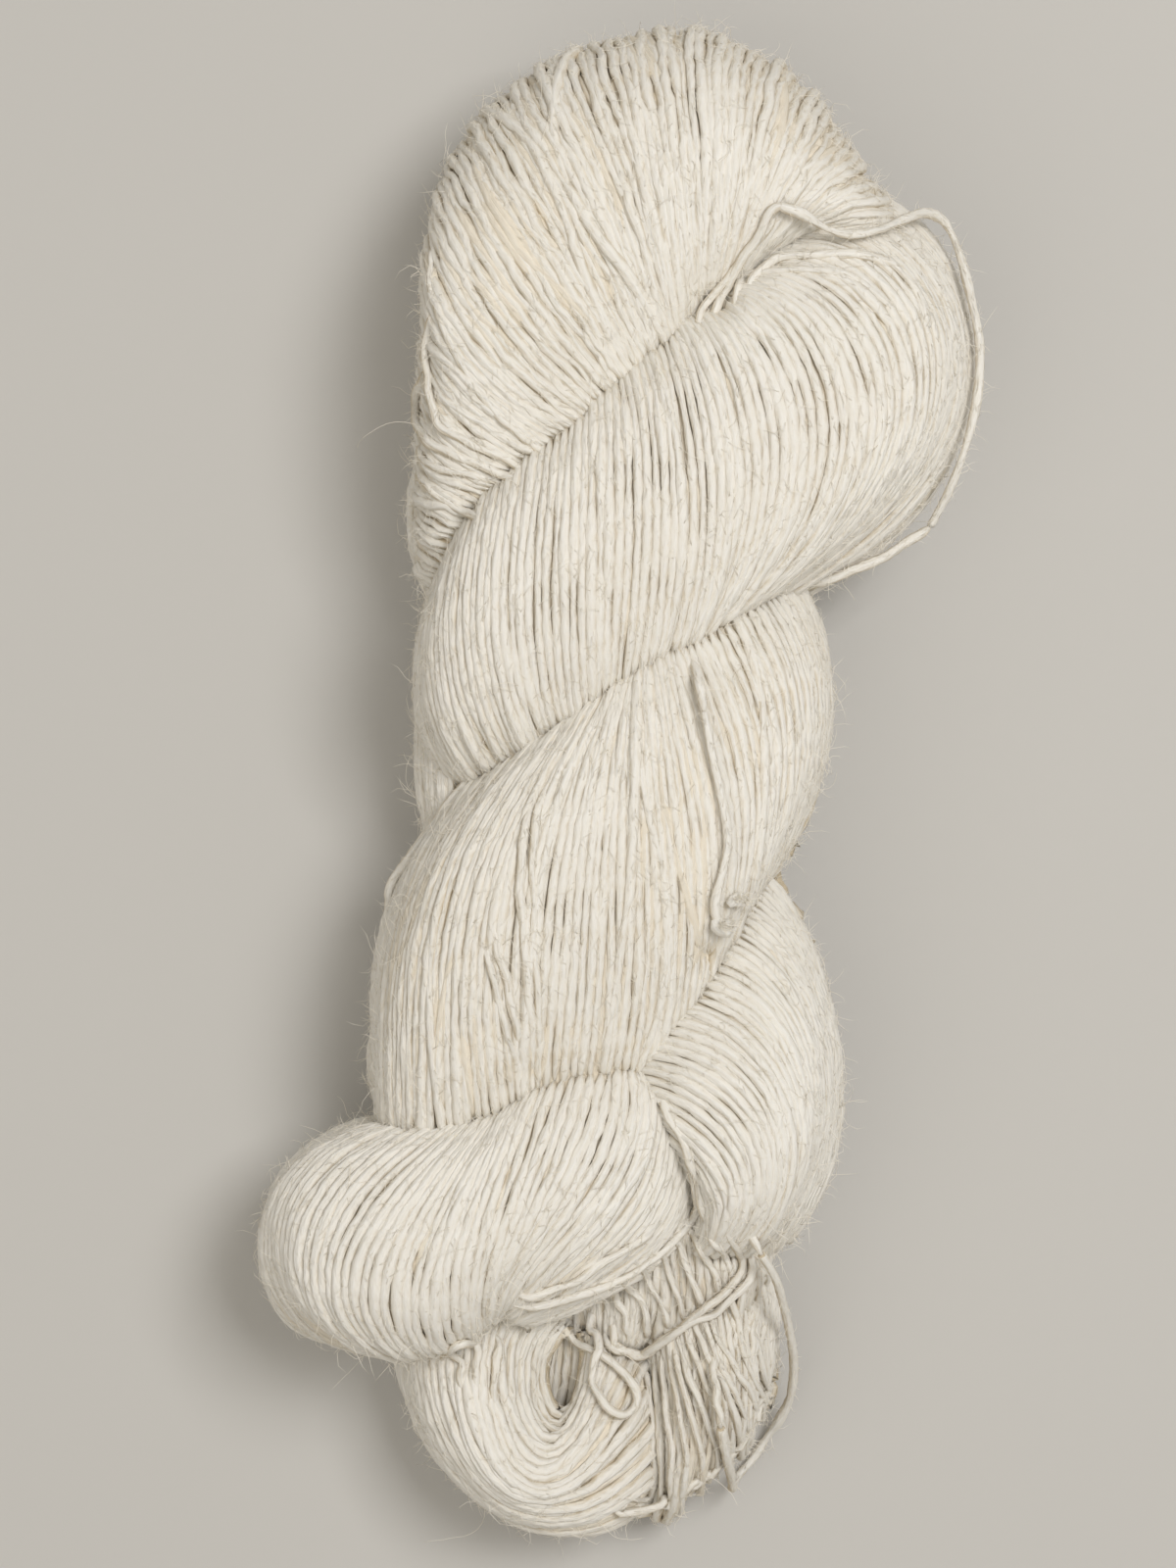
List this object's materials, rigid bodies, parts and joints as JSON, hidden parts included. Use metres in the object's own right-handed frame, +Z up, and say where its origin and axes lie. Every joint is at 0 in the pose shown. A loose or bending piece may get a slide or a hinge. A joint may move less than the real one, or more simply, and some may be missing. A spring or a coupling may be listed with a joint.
{
  "type": "twisted hank of yarn",
  "caption": "Twisted hank of thick-and-thin cream wool yarn, folded on itself, with one end loop wrapped round the neck and loose turns standing off it.",
  "frame": {"origin": "on the surface that the hank lies on, under the middle of its outline", "axes": "+Y along the hank, from the end loops to the folded head; +Z up, away from the surface; +X across it to the right, seen from above with the head up"},
  "size_m": [0.1126, 0.2381, 0.0561],
  "materials": {
    "wool": "matte, fuzzy"
  },
  "bodies": {
    "root": {"hank": "wool", "slack_turn_top": "wool", "slack_turn_side": "wool", "loose_end": "wool"}
  },
  "joints": []
}
